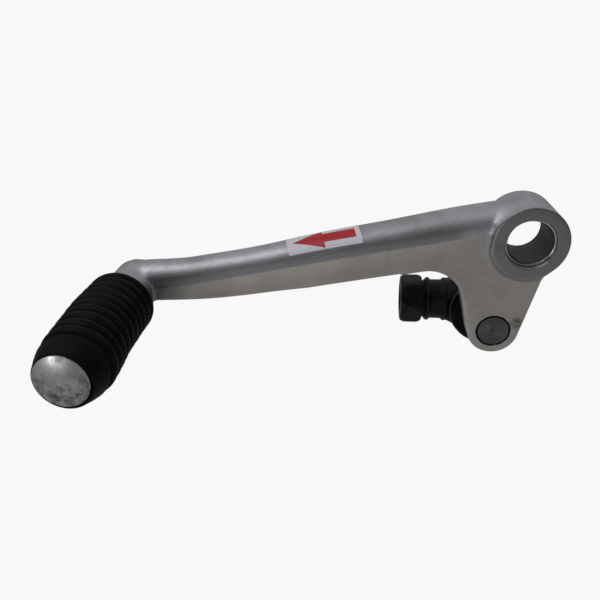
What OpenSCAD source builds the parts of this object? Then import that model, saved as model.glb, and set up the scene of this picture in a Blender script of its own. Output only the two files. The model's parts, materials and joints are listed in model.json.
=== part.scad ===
// Motorcycle gear shift lever: a forged arm that turns on a bushed pivot bore, a ribbed toe peg
// at one end, and a ball joint for the shift rod riveted to a short leg below the bore.
// Origin: middle of the pivot bore. +Y runs along the bore towards the machine, the arm
// reaches towards -X, the toe peg stands out towards -Y, and +Z is up.

/* [Pivot boss] */
// Radius of the hole that the machine's pivot bolt fills
bore_r = 8; // [7.6:0.1:8.2]
// Wall of the dry bush, shell and lining together
bush_wall = 1; // [0.8:0.1:1.2]
// Thickness of the sliding layer inside the bush
lining_t = 0.3; // [0.2:0.05:0.4]
// Length of the dry bush
bush_len = 20; // [16:1:22]
// Outer radius of the boss
boss_r = 13.6; // [13:0.1:14.5]
// Length of the boss along the bore
boss_len = 23; // [22:0.5:25]

/* [Arm] */
// How far the arm's flat front face lies behind the boss's front face
face_step = 1.8; // [1:0.1:3]
// How far the arm leans outwards, towards the rider's foot, over its length
arm_splay = 12.5; // [8:0.5:16]
// Fall of the arm per millimetre of reach
arm_slope = 0.155; // [0.13:0.005:0.18]
// Thickness of the arm at the boss
arm_root_t = 18; // [16:0.1:19]
// Thickness of the arm at the toe end
arm_tip_t = 13.5; // [12:0.1:15]
// Height of the flat front face at the boss
face_root_h = 13; // [12:0.1:13.5]
// Height of the flat front face at the waist, where the arm starts to taper
face_waist_h = 11.9; // [10.5:0.1:12.5]
// Height of the flat front face at the toe end
face_tip_h = 6.8; // [5.5:0.1:7.5]
// Rise of the rounded top above the flat face at the boss
dome_root_h = 7.1; // [6:0.1:8]
// Rise of the rounded top above the flat face at the toe end
dome_tip_h = 6.6; // [5:0.1:6.7]

/* [Leg and ball stud] */
// Distance of the stud from the bore, along X
stud_x = -9; // [-11:0.5:-7]
// Distance of the stud from the bore, along Z
stud_z = -36.5; // [-38:0.5:-35]
// Thickness of the leg
leg_t = 12; // [10:0.5:13]
// Radius of the leg's round lower end
leg_end_r = 9.7; // [9:0.1:10.5]
// Radius of the inside corner between the arm and the leg
crotch_r = 12; // [11.5:0.1:12.5]
// Radius of the stud's flush riveted head
rivet_r = 6.45; // [6:0.05:7]
// Radius of the ball
ball_r = 8; // [7.5:0.1:8.2]
// Distance from the back of the leg to the ball's centre
ball_stand = 16; // [16:0.5:18]

/* [Toe peg] */
// Distance of the peg's axis from the bore, along X
peg_x = -148; // [-152:0.5:-146]
// Distance of the peg's axis from the bore, along Z
peg_z = -17.9; // [-19:0.1:-17]
// Radius of the arm's round end
eye_r = 9.3; // [9:0.1:10]
// Radius of the metal peg inside the rubber
post_r = 6.5; // [5.5:0.1:7]
// Radius of the peg's domed head
cap_r = 9; // [8.5:0.1:9.2]
// Outer radius of the rubber over its ribs
rubber_r = 12.5; // [12:0.1:13.5]
// Length of the rubber, from the arm's end to the rim round the peg's head
rubber_len = 50.5; // [46:0.5:54]
// Number of ribs round the rubber
rib_count = 10; // [8:1:12]

/* [Ball joint] */
// Outer radius of the round housing
housing_r = 13; // [12.8:0.1:13.5]
// Radius of the shank that takes the shift rod
shank_r = 8.4; // [7.6:0.1:8.6]
// Distance from the ball's centre to the shank's open end
shank_reach = 34.5; // [33:0.5:38]
// Width across flats of the hexagon at the shank's end
hex_af = 19; // [17:0.5:20]
// Radius of the threaded hole for the shift rod, at its crests
thread_r = 4.25; // [3.4:0.05:5]
// Depth of the threaded hole
thread_depth = 20; // [16:0.5:20]

/* [Hidden] */
$fn = 96;

alloy = [0.72, 0.72, 0.71];
turned_alloy = [0.80, 0.80, 0.79];
steel = [0.42, 0.42, 0.41];
black = [0.05, 0.05, 0.06];

face_y = -boss_len / 2 + face_step;
bush_r = bore_r + bush_wall;

// Stations along the arm
arm_inner_x = -6;
arm_root_x = -18;
arm_waist_x = -80;
splay_end_x = -124;
flare_x = -133;
arm_tip_x = -136;
root_ridge_z = 4;
arm_bow = 0.5;
arm_edge = 1.2;
dome_steps = 12;
station_step = 9;
flare_steps = 5;

// The arm's front face flares out to the eye in a quarter circle
eye_flare_r = 7.1;
eye_front_y = face_y - arm_splay - eye_flare_r;
eye_back_edge = 2;

rivet_t = 3;
stud_shank_r = 5;
stud_neck_r = 4.5;
flange_r = 8.5;
flange_t = 1.5;
leg_back_y = face_y + leg_t;
ball_y = leg_back_y + ball_stand;

running = 0.05;
seat_r = 10;
seat_mouth = 5;
seat_back = 8.5;
housing_front = 8.3;
housing_back = 13.3;
spigot_r = 10.5;
spigot_len = 2;
mouth_r = 7.4;
plug_r = 11;
plug_y = 10.4;
plug_t = 2.2;
crimp_r = 10.2;
hex_len = 9;
bead_r = 0.9;
boot_r = 14.2;
ring_y = 1.1;
ring_w = 0.8;
ring_t = 0.6;

label_x = [-87.5, -60.5];
label_arc = [-60, 26];
label_gap = 0.05;
label_t = 0.2;

function mix(a, b, t) = a + (b - a) * t;
function unit(t) = max(0, min(1, t));
function along(x, x0, x1) = (x0 - x) / (x0 - x1);

// Height of the crisp edge between the flat front face and the rounded top
function ridge_z(x) = root_ridge_z + arm_slope * (x - arm_root_x)
    + arm_bow * sin(180 * unit(along(x, arm_root_x, arm_tip_x)));

function face_h(x) = x > arm_waist_x
    ? mix(face_root_h, face_waist_h, along(x, arm_root_x, arm_waist_x))
    : mix(face_waist_h, face_tip_h, along(x, arm_waist_x, arm_tip_x));

function splay_y(x) = face_y - arm_splay * unit(along(x, arm_root_x, splay_end_x));

function flare(x) = let (u = min(eye_flare_r, max(0, flare_x - x)))
    eye_flare_r - sqrt(eye_flare_r * eye_flare_r - u * u);

function front_y(x) = splay_y(x) - flare(x);
function back_y(x) = splay_y(x) + mix(arm_root_t, arm_tip_t, unit(along(x, arm_root_x, arm_tip_x)));
function dome_h(x) = mix(dome_root_h, dome_tip_h, unit(along(x, arm_root_x, arm_tip_x)));

function half_t(x) = (back_y(x) - front_y(x)) / 2;
function dome_r(x) = (half_t(x) * half_t(x) + dome_h(x) * dome_h(x)) / (2 * dome_h(x));

// Point of the rounded top at angle a from straight up, towards the back, raised by lift
function dome_point(x, a, lift = 0) = [
    x,
    front_y(x) + half_t(x) + (dome_r(x) + lift) * sin(a),
    ridge_z(x) + dome_h(x) - dome_r(x) + (dome_r(x) + lift) * cos(a)
];

function dome_half_angle(x) = asin(half_t(x) / dome_r(x));

// Outline of the arm across X: flat front, rounded top, flat back, broken lower edges
function arm_section(x) = let (a = dome_half_angle(x), zb = ridge_z(x) - face_h(x)) concat(
    [[x, front_y(x) + arm_edge, zb], [x, front_y(x), zb + arm_edge]],
    [for (i = [0:dome_steps]) dome_point(x, mix(-a, a, i / dome_steps))],
    [[x, back_y(x), zb + arm_edge], [x, back_y(x) - arm_edge, zb]]
);

arm_stations = concat(
    [arm_inner_x],
    [for (x = [arm_root_x:-station_step:flare_x + station_step / 2]) x],
    [for (i = [0:flare_steps]) flare_x - eye_flare_r * sin(90 * i / flare_steps)],
    [peg_x]
);

// Solid through a row of outlines that step towards -X, each with the same number of points
module skin(outlines) {
    n = len(outlines[0]);
    last = len(outlines) - 1;
    points = [for (outline = outlines) for (p = outline) p];
    sides = [
        for (s = [0:last - 1]) for (i = [0:n - 1]) let (
            a = s * n + i,
            b = s * n + (i + 1) % n
        ) each [[a + n, b + n, b], [a + n, b, a]]
    ];
    caps = [
        [for (i = [0:n - 1]) i],
        [for (i = [n - 1:-1:0]) last * n + i]
    ];
    polyhedron(points, concat(sides, caps), convexity = 6);
}

// Extrudes an outline drawn in X and Z from y0 to y1
module plate(y0, y1) {
    rotate([90, 0, 0]) translate([0, 0, -y1]) linear_extrude(y1 - y0) children();
}

// Revolves an outline of [radius, y] points round the Y axis
module turned() {
    rotate([-90, 0, 0]) rotate_extrude() children();
}

module rod_y(r, y0, y1) {
    translate([0, y0, 0]) rotate([-90, 0, 0]) cylinder(r = r, h = y1 - y0);
}

module rod_x(r, x0, x1) {
    translate([x0, 0, 0]) rotate([0, 90, 0]) cylinder(r = r, h = x1 - x0);
}

module at_stud() {
    translate([stud_x, 0, stud_z]) children();
}

module at_ball() {
    translate([stud_x, ball_y, stud_z]) children();
}

module at_peg() {
    translate([peg_x, 0, peg_z]) children();
}

module leg_outline() {
    crotch_x = stud_x - leg_end_r - 2.8 - crotch_r;
    crotch_z = ridge_z(crotch_x) - face_h(crotch_x) - crotch_r;
    difference() {
        polygon([
            [crotch_x, crotch_z + crotch_r],
            [crotch_x, 0],
            [0, 0],
            [9, -9.5],
            [5, -14.5],
            [stud_x + leg_end_r, stud_z + 0.5],
            [stud_x, stud_z],
            [stud_x - leg_end_r, stud_z - 0.5],
            [crotch_x + crotch_r, crotch_z],
            [crotch_x, crotch_z]
        ]);
        translate([crotch_x, crotch_z]) circle(r = crotch_r);
    }
    translate([stud_x, stud_z]) circle(r = leg_end_r);
}

module lever_arm() {
    edge = 0.5;
    color(alloy) difference() {
        union() {
            skin([for (x = arm_stations) arm_section(x)]);
            plate(face_y, leg_back_y) leg_outline();
            turned() polygon([
                [0, -boss_len / 2],
                [boss_r - edge, -boss_len / 2],
                [boss_r, -boss_len / 2 + edge],
                [boss_r, boss_len / 2 - edge],
                [boss_r - edge, boss_len / 2],
                [0, boss_len / 2]
            ]);
            at_peg() turned() polygon([
                [0, eye_front_y],
                [eye_r, eye_front_y],
                [eye_r, back_y(peg_x) - eye_back_edge],
                [eye_r - eye_back_edge, back_y(peg_x)],
                [0, back_y(peg_x)]
            ]);
        }
        rod_y(bush_r, -boss_len, boss_len);
        at_stud() rod_y(rivet_r, face_y - 1, face_y + rivet_t);
        at_stud() rod_y(stud_shank_r, face_y, leg_back_y + 1);
        at_peg() rod_y(stud_shank_r, eye_front_y - 1, back_y(peg_x) + 1);
    }
}

module bush_shell() {
    color(steel) difference() {
        rod_y(bush_r, -bush_len / 2, bush_len / 2);
        rod_y(bore_r + lining_t, -bush_len, bush_len);
    }
}

module bush_lining() {
    color(black) difference() {
        rod_y(bore_r + lining_t, -bush_len / 2, bush_len / 2);
        rod_y(bore_r, -bush_len, bush_len);
    }
}

cap_rim_y = eye_front_y - 0.4 - rubber_len;
cap_t = 2.2;
cap_dome = 1.2;

module peg_pin() {
    color(turned_alloy) at_peg() {
        rod_y(stud_shank_r, eye_front_y, back_y(peg_x));
        rod_y(post_r, cap_rim_y + cap_t, eye_front_y);
        turned() polygon([
            [0, cap_rim_y - cap_dome],
            [cap_r * 0.35, cap_rim_y - cap_dome * 0.88],
            [cap_r * 0.65, cap_rim_y - cap_dome * 0.58],
            [cap_r * 0.9, cap_rim_y - cap_dome * 0.12],
            [cap_r, cap_rim_y + 0.5],
            [cap_r, cap_rim_y + cap_t],
            [0, cap_rim_y + cap_t]
        ]);
    }
}

module peg_rubber() {
    taper_len = 7;
    groove = 1.3;
    ribs_end_y = cap_rim_y + taper_len;
    inner_y = eye_front_y - 0.4;
    pitch = (inner_y - ribs_end_y) / rib_count;
    // Rounded ribs with narrow grooves between them
    rib_steps = 8;
    rib_points = [
        for (i = [0:rib_count * rib_steps]) let (
            u = (i % rib_steps) / rib_steps,
            swell = pow(sin(180 * u), 0.5)
        ) [rubber_r - groove * (1 - swell), ribs_end_y + i * pitch / rib_steps]
    ];
    color(black) at_peg() turned() polygon(concat(
        [
            [post_r, inner_y],
            [post_r, cap_rim_y + cap_t],
            [cap_r, cap_rim_y + cap_t],
            [cap_r, cap_rim_y + 0.3],
            [cap_r + 0.7, cap_rim_y + 0.3],
            [rubber_r - 1.8, cap_rim_y + taper_len * 0.45]
        ],
        rib_points
    ));
}

module arrow_label() {
    label_steps = 14;
    lifts = [label_gap, label_gap + label_t];
    stations = [for (i = [0:4]) mix(label_x[1], label_x[0], i / 4)];
    color("white") skin([
        for (x = stations) concat(
            [for (i = [0:label_steps])
                dome_point(x, mix(label_arc[0], label_arc[1], i / label_steps), lifts[1])],
            [for (i = [label_steps:-1:0])
                dome_point(x, mix(label_arc[0], label_arc[1], i / label_steps), lifts[0])]
        )
    ]);
}

module ball_stud() {
    color(steel) at_stud() {
        rod_y(rivet_r, face_y, face_y + rivet_t);
        rod_y(stud_shank_r, face_y, leg_back_y);
        rod_y(flange_r, leg_back_y, leg_back_y + flange_t);
        rod_y(stud_neck_r, leg_back_y, ball_y);
        translate([0, ball_y, 0]) sphere(r = ball_r);
    }
}

module ball_seat() {
    color("ivory") at_ball() turned() difference() {
        intersection() {
            circle(r = seat_r);
            translate([0, -seat_mouth]) square([seat_r, seat_mouth + seat_back]);
        }
        circle(r = ball_r + running);
    }
}

module joint_housing() {
    open_x = -shank_reach;
    hex_x = open_x + hex_len;
    cavity_r = seat_r + running;
    color(black) at_ball() difference() {
        union() {
            rod_y(housing_r, -housing_front, housing_back);
            rod_y(spigot_r, -housing_front - spigot_len, 0);
            rod_x(shank_r, open_x + 1, 0);
            translate([open_x, 0, 0]) rotate([0, 90, 0]) rotate([0, 0, 30])
                cylinder(d = hex_af / cos(30), h = hex_len, $fn = 6);
            for (x = [hex_x + 2.2, hex_x + 9.2])
                rod_x(shank_r + 0.8, x, x + 1.6);
            translate([-housing_r - 3, 0, 0]) rotate([0, 90, 0])
                cylinder(r1 = shank_r, r2 = housing_front, h = 8);
        }
        sphere(r = cavity_r);
        rod_y(cavity_r, 0, plug_y + 1);
        rod_y(plug_r, plug_y, plug_y + plug_t);
        rod_y(crimp_r, plug_y, housing_back + 1);
        rod_y(mouth_r, -housing_r, 0);
        rod_x(thread_r, open_x - 1, open_x + thread_depth);
    }
}

module end_plug() {
    color(steel) at_ball() {
        rod_y(plug_r, plug_y, plug_y + plug_t);
    }
}

module joint_boot() {
    lip_y = -housing_front;
    ring_bed_r = boot_r - ring_t;
    color(black) at_ball() turned() polygon([
        [spigot_r, lip_y],
        [boot_r - 0.8, lip_y],
        [boot_r, lip_y - 0.8],
        [boot_r, lip_y - ring_y],
        [ring_bed_r, lip_y - ring_y],
        [ring_bed_r, lip_y - ring_y - ring_w],
        [boot_r, lip_y - ring_y - ring_w],
        [boot_r, lip_y - 2.7],
        [boot_r - 1.2, lip_y - 3.6],
        [8.2, lip_y - 3.9],
        [7.6, lip_y - 3.6],
        [7.6, lip_y - 3],
        [spigot_r, lip_y - 2.2]
    ]);
}

module boot_ring() {
    color(steel) at_ball() difference() {
        rod_y(boot_r + 0.2, -housing_front - ring_y - ring_w, -housing_front - ring_y);
        rod_y(boot_r - ring_t, -housing_front - 3, 0);
    }
}

lever_arm();
bush_shell();
bush_lining();
peg_pin();
peg_rubber();
arrow_label();
ball_stud();
ball_seat();
joint_housing();
end_plug();
joint_boot();
boot_ring();
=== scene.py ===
"""Looks of a motorcycle gear shift lever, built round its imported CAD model.

Shapes are worked out in millimetres in the model's own frame and turned into metres when a
mesh is made. +Y runs along the pivot bore, the arm reaches towards -X, and +Z is up.
"""

import itertools
import json
import math

import bmesh
import bpy
import numpy as np
from mathutils import Matrix, Vector


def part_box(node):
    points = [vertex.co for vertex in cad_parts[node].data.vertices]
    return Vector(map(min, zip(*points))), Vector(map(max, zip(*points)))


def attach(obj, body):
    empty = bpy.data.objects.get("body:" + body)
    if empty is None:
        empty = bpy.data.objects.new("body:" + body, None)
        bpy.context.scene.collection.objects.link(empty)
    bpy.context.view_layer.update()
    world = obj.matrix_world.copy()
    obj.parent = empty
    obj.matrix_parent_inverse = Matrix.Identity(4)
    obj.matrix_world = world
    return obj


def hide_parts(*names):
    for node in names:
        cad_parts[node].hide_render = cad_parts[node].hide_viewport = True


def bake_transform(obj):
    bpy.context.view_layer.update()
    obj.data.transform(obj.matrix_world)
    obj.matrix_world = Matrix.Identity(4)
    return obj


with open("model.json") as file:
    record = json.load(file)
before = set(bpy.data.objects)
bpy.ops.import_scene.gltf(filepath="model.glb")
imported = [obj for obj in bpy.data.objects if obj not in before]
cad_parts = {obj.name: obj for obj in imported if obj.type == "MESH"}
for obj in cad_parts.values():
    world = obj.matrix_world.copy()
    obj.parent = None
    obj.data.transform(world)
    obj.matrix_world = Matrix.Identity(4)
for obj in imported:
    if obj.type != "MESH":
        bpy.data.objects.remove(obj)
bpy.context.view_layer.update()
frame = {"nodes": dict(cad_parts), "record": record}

MM = 0.001
SEGMENTS = 160


# ---------------------------------------------------------------- driving dimensions

def node_box(node):
    """Lowest and highest corner of a CAD node in millimetres."""
    low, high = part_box(node)
    return np.array(low) / MM, np.array(high) / MM


def joint_centre(name):
    """Place of a joint in millimetres."""
    found = [j for j in frame["record"]["behaviour"]["joints"] if j["name"] == name]
    return np.array(found[0]["pos_m"]) / MM


def mount_radius(name):
    """Bore radius of a mount in millimetres."""
    found = [m for m in frame["record"]["mounts"] if m["name"] == name]
    return found[0]["dims"]["r_mm"]


lever_low, lever_high = node_box("lever_arm")
bush_high = node_box("bush_shell")[1]
pin_low, pin_high = node_box("peg_pin")
rubber_low, rubber_high = node_box("peg_rubber")
stud_low, stud_high = node_box("ball_stud")
housing_low, housing_high = node_box("joint_housing")
plug_low, plug_high = node_box("end_plug")

BORE_R = mount_radius("pivot_bore")
BUSH_R = bush_high[0]
BUSH_HALF = bush_high[1]
LINING_T = 0.3
BOSS_R = lever_high[0]
BOSS_HALF = lever_high[1]

FACE_Y = stud_low[1]
LEG_T = 12
LEG_BACK_Y = FACE_Y + LEG_T
SPLAY = 12.5
ROOT_X = -18
WAIST_X = -80
SPLAY_END_X = -124
TIP_X = -136
RIDGE_ROOT_Z = 4
ARM_SLOPE = 0.155
ARM_BOW = 0.5
FACE_H = (13.0, 11.9, 6.8)
DOME_H = (7.1, 6.6)
ARM_T = (18.0, 13.5)
GROUND_DROP = 1.9  # the ground finish starts this far below the ridge
BOSS_FILLET = 2.8
EYE_FILLET = 1.8

BALL = joint_centre("rod_tilt")
STUD_X, BALL_Y, STUD_Z = BALL
LEG_END_R = 9.7
CROTCH_R = 12
PLATE_END_X = -46  # how far the leg's plate runs out under the arm
RIVET_R = 6.45
STUD_SHANK_R = 5
NECK_R = 4.5
FLANGE_R = 8.5
FLANGE_T = 1.5

PEG_X = (pin_low[0] + pin_high[0]) / 2
PEG_Z = (pin_low[2] + pin_high[2]) / 2
EYE_R = 9.3
EYE_FRONT_Y = rubber_high[1] + 0.4
EYE_BACK_Y = pin_high[1]
POST_R = 6.5
SPIGOT_R = 5.0
SAG_SPAN = (-46.0, -72.0)
CAP_R = (pin_high[0] - pin_low[0]) / 2
CAP_DOME = 1.2
CAP_RIM_Y = pin_low[1] + CAP_DOME
RUBBER_R = (rubber_high[0] - rubber_low[0]) / 2

HOUSING_R = 13
HOUSING_FRONT = 8.3  # from the ball's centre towards the leg
CAVITY_R = 10.05
SHANK_R = 8.4
OPEN_X = housing_low[0] - STUD_X
HEX_AF = 19
HEX_LEN = 9
THREAD_R = mount_radius("rod_thread")
THREAD_PITCH = 1.5
THREAD_DEPTH = 20
PLUG_R = (plug_high[0] - plug_low[0]) / 2
BOOT_R = 14.2


# ---------------------------------------------------------------- camera

CAMERA = {
    "azimuth": 6.371,
    "elevation": 25.919,
    "roll": -1.414,
    "distance": 0.2329,
    "target": (-0.0840, -0.0115, -0.0242),
    "lens": 35.86,
    "sensor": 36.0,
}


def add_camera():
    """A camera that looks at CAMERA's target and is turned about its own axis by the roll."""
    azimuth, elevation, roll = (
        math.radians(CAMERA[k]) for k in ("azimuth", "elevation", "roll")
    )
    back = Vector((
        math.sin(azimuth) * math.cos(elevation),
        -math.cos(azimuth) * math.cos(elevation),
        math.sin(elevation),
    ))
    right = (-back).cross(Vector((0, 0, 1))).normalized()
    up = right.cross(-back)
    turned_right = right * math.cos(roll) + up * math.sin(roll)
    turned_up = up * math.cos(roll) - right * math.sin(roll)
    data = bpy.data.cameras.new("camera")
    data.lens = CAMERA["lens"]
    data.sensor_width = CAMERA["sensor"]
    data.clip_start = 0.01
    camera = bpy.data.objects.new("camera", data)
    place = Vector(CAMERA["target"]) + back * CAMERA["distance"]
    camera.matrix_world = Matrix.Translation(place) @ Matrix(
        (turned_right, turned_up, back)
    ).transposed().to_4x4()
    bpy.context.collection.objects.link(camera)
    bpy.context.scene.camera = camera


# ---------------------------------------------------------------- meshes

def mesh_object(name, points, faces, material, sharp_deg=35):
    """A smooth-shaded mesh from points in millimetres; edges over sharp_deg stay crisp."""
    mesh = bpy.data.meshes.new(name)
    mesh.from_pydata((np.asarray(points, float) * MM).tolist(), [], faces)
    mesh.validate()
    if sharp_deg:
        form = bmesh.new()
        form.from_mesh(mesh)
        for edge in form.edges:
            if len(edge.link_faces) == 2:
                edge.smooth = edge.calc_face_angle(0) < math.radians(sharp_deg)
        form.to_mesh(mesh)
        form.free()
    mesh.polygons.foreach_set("use_smooth", [True] * len(mesh.polygons))
    mesh.materials.append(material)
    piece = bpy.data.objects.new(name, mesh)
    bpy.context.collection.objects.link(piece)
    return piece


def add_attribute(piece, name, values):
    """Stores one number for each vertex, which a material can read."""
    attribute = piece.data.attributes.new(name, "FLOAT", "POINT")
    attribute.data.foreach_set("value", np.asarray(values, np.float32))


def rounded(profile, steps=5):
    """Points of an outline given as (radius, height, corner rounding) triples."""
    out = []
    count = len(profile)
    for i, (r, h, rounding) in enumerate(profile):
        here = np.array([r, h], float)
        if rounding <= 0:
            out.append(here)
            continue
        before = np.array(profile[i - 1][:2], float) - here
        after = np.array(profile[(i + 1) % count][:2], float) - here
        a = before / np.linalg.norm(before)
        b = after / np.linalg.norm(after)
        half = math.acos(max(-1, min(1, float(a @ b)))) / 2
        reach = rounding / math.tan(half)
        reach = min(reach, 0.49 * np.linalg.norm(before), 0.49 * np.linalg.norm(after))
        start, end = here + a * reach, here + b * reach
        for s in range(steps + 1):
            t = s / steps
            out.append((1 - t) ** 2 * start + 2 * t * (1 - t) * here + t * t * end)
    return out


def revolve(name, profile, centre, material, segments=SEGMENTS, sharp_deg=35):
    """Closed outline of (radius, y) points turned round a Y axis through centre (x, z)."""
    rings = [(max(float(p[0]), 0.0), float(p[1])) for p in profile]
    points, ring_ids = [], []
    for r, y in rings:
        if r < 1e-6:
            ring_ids.append([len(points)] * segments)
            points.append((centre[0], y, centre[1]))
            continue
        ring_ids.append(list(range(len(points), len(points) + segments)))
        for s in range(segments):
            a = 2 * math.pi * s / segments
            points.append((centre[0] + r * math.cos(a), y, centre[1] + r * math.sin(a)))
    faces = []
    for i in range(len(rings)):
        a, b = ring_ids[i], ring_ids[(i + 1) % len(rings)]
        if a[0] == a[1] and b[0] == b[1]:
            continue
        for s in range(segments):
            t = (s + 1) % segments
            face = [a[s], a[t], b[t], b[s]]
            faces.append(list(dict.fromkeys(face)))
    piece = mesh_object(name, points, faces, material, sharp_deg)
    fix_normals(piece)
    return piece


def fix_normals(piece):
    form = bmesh.new()
    form.from_mesh(piece.data)
    bmesh.ops.recalc_face_normals(form, faces=form.faces)
    form.to_mesh(piece.data)
    form.free()


def vertex_places(piece):
    return np.array([v.co for v in piece.data.vertices]) / MM


def move_vertices(piece, places):
    for vertex, place in zip(piece.data.vertices, places):
        vertex.co = place * MM


# ---------------------------------------------------------------- solids from distances

def round_and(a, b, r):
    """Distance to the overlap of two solids, with its edge rounded to radius r."""
    corner = np.hypot(np.maximum(a + r, 0), np.maximum(b + r, 0))
    return np.minimum(-r, np.maximum(a, b)) + corner


def round_or(a, b, r):
    """Distance to two solids joined, with a fillet of radius r where they meet."""
    corner = np.hypot(np.maximum(r - a, 0), np.maximum(r - b, 0))
    return np.maximum(r, np.minimum(a, b)) - corner


def smooth_step(value, low, high):
    t = np.clip((value - low) / (high - low), 0, 1)
    return t * t * (3 - 2 * t)


def mix(a, b, t):
    return a + (b - a) * t


def surface_net(distance, low, high, step):
    """Quads of the surface where distance(x, y, z) is zero, inside a box in millimetres."""
    axes = [np.arange(a, b + step, step) for a, b in zip(low, high)]
    x, y, z = np.meshgrid(*axes, indexing="ij", sparse=True)
    field = distance(x, y, z).astype(np.float32)
    inside = field < 0
    size = np.array(field.shape) - 1
    corners = list(itertools.product((0, 1), repeat=3))
    count = sum(
        inside[a:a + size[0], b:b + size[1], c:c + size[2]].astype(np.int8)
        for a, b, c in corners
    )
    active = (count > 0) & (count < 8)
    ids = np.full(size, -1, np.int64)
    cells = np.argwhere(active)
    ids[active] = np.arange(len(cells))
    total = np.zeros((len(cells), 3))
    hits = np.zeros(len(cells))
    for p in corners:
        for axis in range(3):
            if p[axis]:
                continue
            q = list(p)
            q[axis] = 1
            fp = field[tuple((cells + p).T)]
            fq = field[tuple((cells + q).T)]
            cross = (fp < 0) != (fq < 0)
            t = np.where(cross, fp / np.where(cross, fp - fq, 1), 0)
            place = np.tile(np.array(p, float), (len(cells), 1))
            place[:, axis] += t
            total[cross] += place[cross]
            hits[cross] += 1
    points = np.array(low) + step * (cells + total / hits[:, None])
    faces = []
    for axis in range(3):
        u, v = (axis + 1) % 3, (axis + 2) % 3
        first = np.moveaxis(inside, axis, 0)[:-1]
        second = np.moveaxis(inside, axis, 0)[1:]
        edges = np.argwhere(np.moveaxis(first != second, 0, axis))
        keep = (edges[:, u] > 0) & (edges[:, v] > 0)
        keep &= (edges[:, u] < size[u]) & (edges[:, v] < size[v])
        edges = edges[keep]
        ring = []
        for du, dv in ((0, 0), (-1, 0), (-1, -1), (0, -1)):
            cell = edges.copy()
            cell[:, u] += du
            cell[:, v] += dv
            ring.append(ids[tuple(cell.T)])
        quads = np.stack(ring, 1)
        outward = inside[tuple(edges.T)]
        quads[~outward] = quads[~outward][:, ::-1]
        faces.append(quads)
    return points, np.vstack(faces)


def gradient(distance, points, h=0.02):
    """Slope of a distance at each point, by small steps either way."""
    slope = np.empty_like(points)
    for axis in range(3):
        ahead, behind = points.copy(), points.copy()
        ahead[:, axis] += h
        behind[:, axis] -= h
        slope[:, axis] = (distance(*ahead.T) - distance(*behind.T)) / (2 * h)
    return slope


def solid_object(name, distance, low, high, step, material):
    """A mesh of the solid that distance describes, pulled onto its true surface."""
    points, faces = surface_net(distance, low, high, step)
    for _ in range(4):
        slope = gradient(distance, points)
        length = np.maximum((slope ** 2).sum(1), 0.25)
        pull = (distance(*points.T) / length)[:, None] * slope
        points -= np.clip(pull, -0.3 * step, 0.3 * step)
    slope = gradient(distance, points)
    normals = slope / np.maximum(np.linalg.norm(slope, axis=1), 1e-9)[:, None]
    piece = mesh_object(name, points, faces.tolist(), material, sharp_deg=50)
    return piece, points, normals


# ---------------------------------------------------------------- the arm's own curves

def along(x, x0, x1):
    """0 at x0 and 1 at x1."""
    return (x0 - x) / (x0 - x1)


def soft_unit(t, w=0.05):
    """0 below 0, 1 above 1, with its two corners eased over w."""
    return 0.5 * (np.sqrt(t * t + w * w) - np.sqrt((t - 1) ** 2 + w * w) + 1)


def arm_share(x):
    return np.clip(along(x, ROOT_X, TIP_X), 0, 1)


def ridge_z(x):
    """Height of the edge between the arm's flat front face and its rounded top."""
    bow = ARM_BOW * np.sin(math.pi * arm_share(x))
    return RIDGE_ROOT_Z + ARM_SLOPE * (x - ROOT_X) + bow


def face_h(x):
    """Height of the flat front face, which bellies out a little before the eye."""
    near = mix(FACE_H[0], FACE_H[1], along(x, ROOT_X, WAIST_X))
    far = mix(FACE_H[1], FACE_H[2], along(x, WAIST_X, TIP_X))
    return np.where(x > WAIST_X, near, far) + 0.9 * np.exp(-((x + 112) / 20) ** 2)


def front_y(x):
    """The front face leans out from the machine from the root to the splay's end."""
    return FACE_Y - SPLAY * soft_unit(along(x, ROOT_X, SPLAY_END_X))


def back_y(x):
    return front_y(x) + mix(ARM_T[0], ARM_T[1], arm_share(x))


def dome(x):
    """Radius and centre (y, z) of the arm's rounded top, which rises a little at the eye."""
    rise = mix(DOME_H[0], DOME_H[1], arm_share(x)) + 1.6 * smooth_step(-x, 124, 146)
    rise += 0.6 * smooth_step(x, -55, -25) - 0.8 * np.exp(-((x + 101) / 18) ** 2)
    half = mix(ARM_T[0], ARM_T[1], arm_share(x)) / 2
    radius = (half * half + rise * rise) / (2 * rise)
    return radius, front_y(x) + half, ridge_z(x) + rise - radius


def dome_point(x, angle, lift=0.0):
    """Point on the rounded top at angle (degrees) from straight up, towards the back."""
    radius, y, z = dome(np.asarray(x, float))
    a = np.radians(angle)
    return np.stack(np.broadcast_arrays(
        x, y + (radius + lift) * np.sin(a), z + (radius + lift) * np.cos(a)
    ), -1)


# ---------------------------------------------------------------- lever arm

def tapered_leg(x, z):
    """Distance to the leg's outline: two circles joined by straight flanks."""
    top_z, top_r = -8.0, 16.4
    height = top_z - STUD_Z
    across, up = np.abs(x - STUD_X), z - STUD_Z
    lean = (LEG_END_R - top_r) / height
    flat = math.sqrt(1 - lean * lean)
    k = -lean * across + flat * up
    low = np.hypot(across, up) - LEG_END_R
    high = np.hypot(across, up - height) - top_r
    flank = flat * across + lean * up - LEG_END_R
    return np.where(k < 0, low, np.where(k > flat * height, high, flank))


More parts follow.
